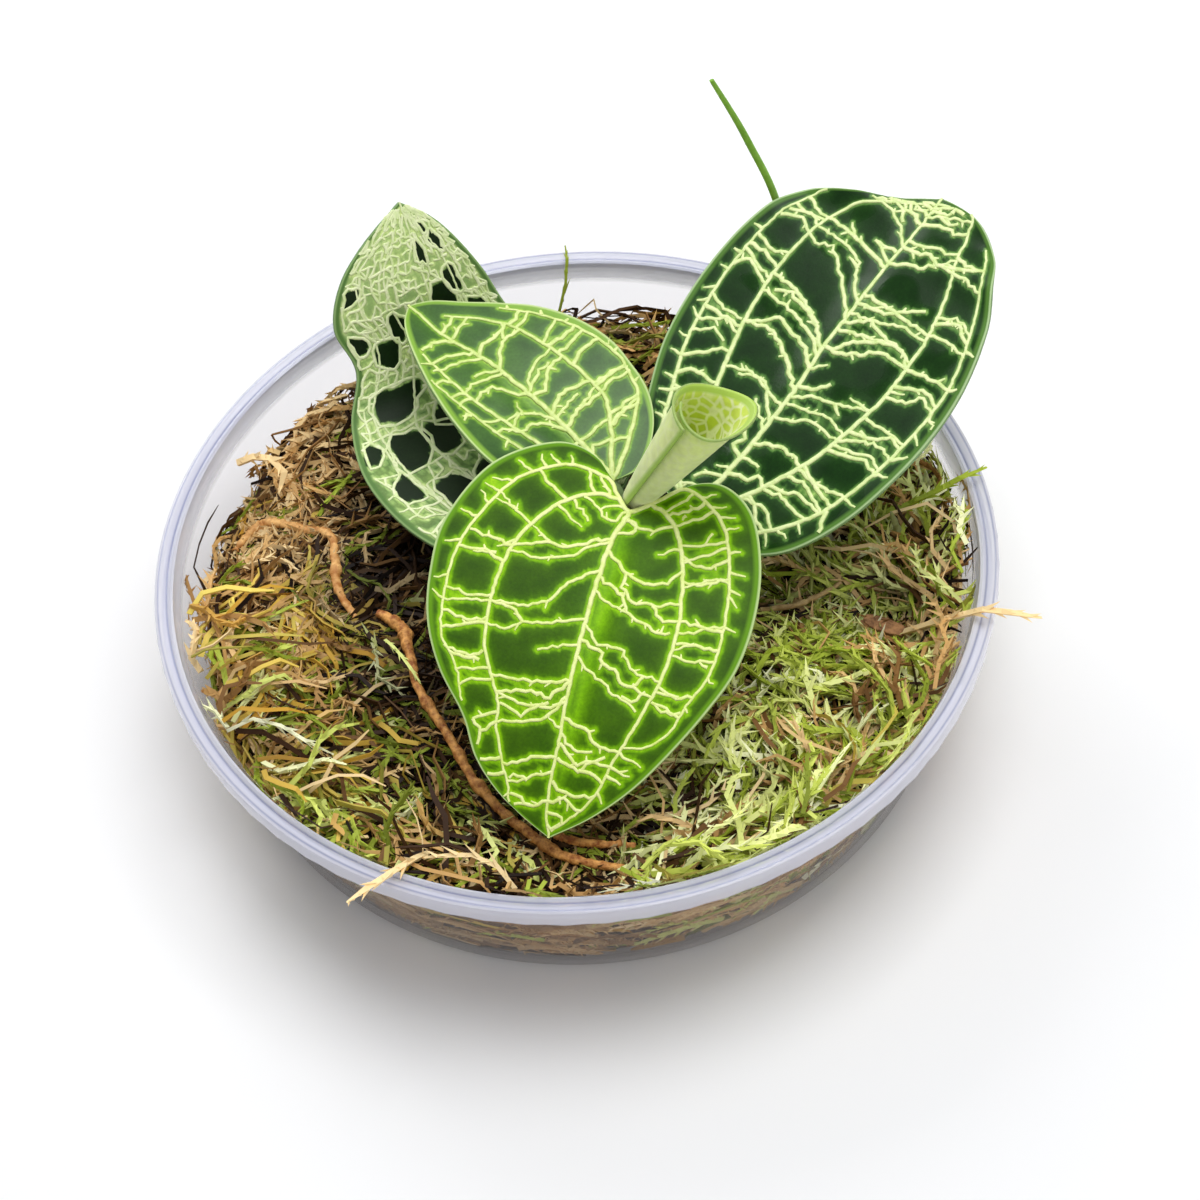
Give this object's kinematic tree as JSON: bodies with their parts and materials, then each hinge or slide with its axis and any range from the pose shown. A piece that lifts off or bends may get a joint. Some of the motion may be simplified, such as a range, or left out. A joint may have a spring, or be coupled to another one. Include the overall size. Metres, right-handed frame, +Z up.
{
  "type": "potted jewel orchid",
  "caption": "Low jewel orchid with broad net-veined leaves and a rolled new leaf, planted in damp moss in a shallow clear pot.",
  "frame": {"origin": "middle of the pot's flat base", "axes": "+Z up along the pot's axis, -Y towards the side that the front leaf hangs over, +X to that viewer's right"},
  "size_m": [0.1196, 0.117, 0.0716],
  "materials": {
    "clear_plastic": "gloss",
    "moss": "matte",
    "stem_flesh": "satin",
    "root_skin": "matte",
    "bright_leaf": "satin",
    "middle_leaf": "satin",
    "dark_leaf": "satin",
    "new_leaf": "satin",
    "dead_bark": "matte",
    "orange_root": "matte",
    "tan_strand": "matte",
    "green_strand": "matte",
    "grass": "satin",
    "pale_shoot": "satin"
  },
  "bodies": {
    "root": {"pot": "clear_plastic", "moss_bed": "moss", "stem": "stem_flesh", "root_1": "root_skin", "root_2": "root_skin", "root_3": "root_skin", "root_4": "root_skin", "leaf_front": "bright_leaf", "leaf_right": "dark_leaf", "leaf_left": "middle_leaf", "leaf_back": "dark_leaf", "leaf_rolled": "new_leaf", "brown_runner": "dead_bark", "runner_fork": "dead_bark", "orange_root": "orange_root", "rim_sprig": "tan_strand", "front_sprig": "tan_strand", "green_sprig": "green_strand", "back_strand": "green_strand", "grass_blade": "grass", "pale_shoot_1": "pale_shoot", "pale_shoot_2": "pale_shoot", "straw_1": "tan_strand", "straw_2": "tan_strand", "bark_chip": "dead_bark"}
  },
  "joints": []
}
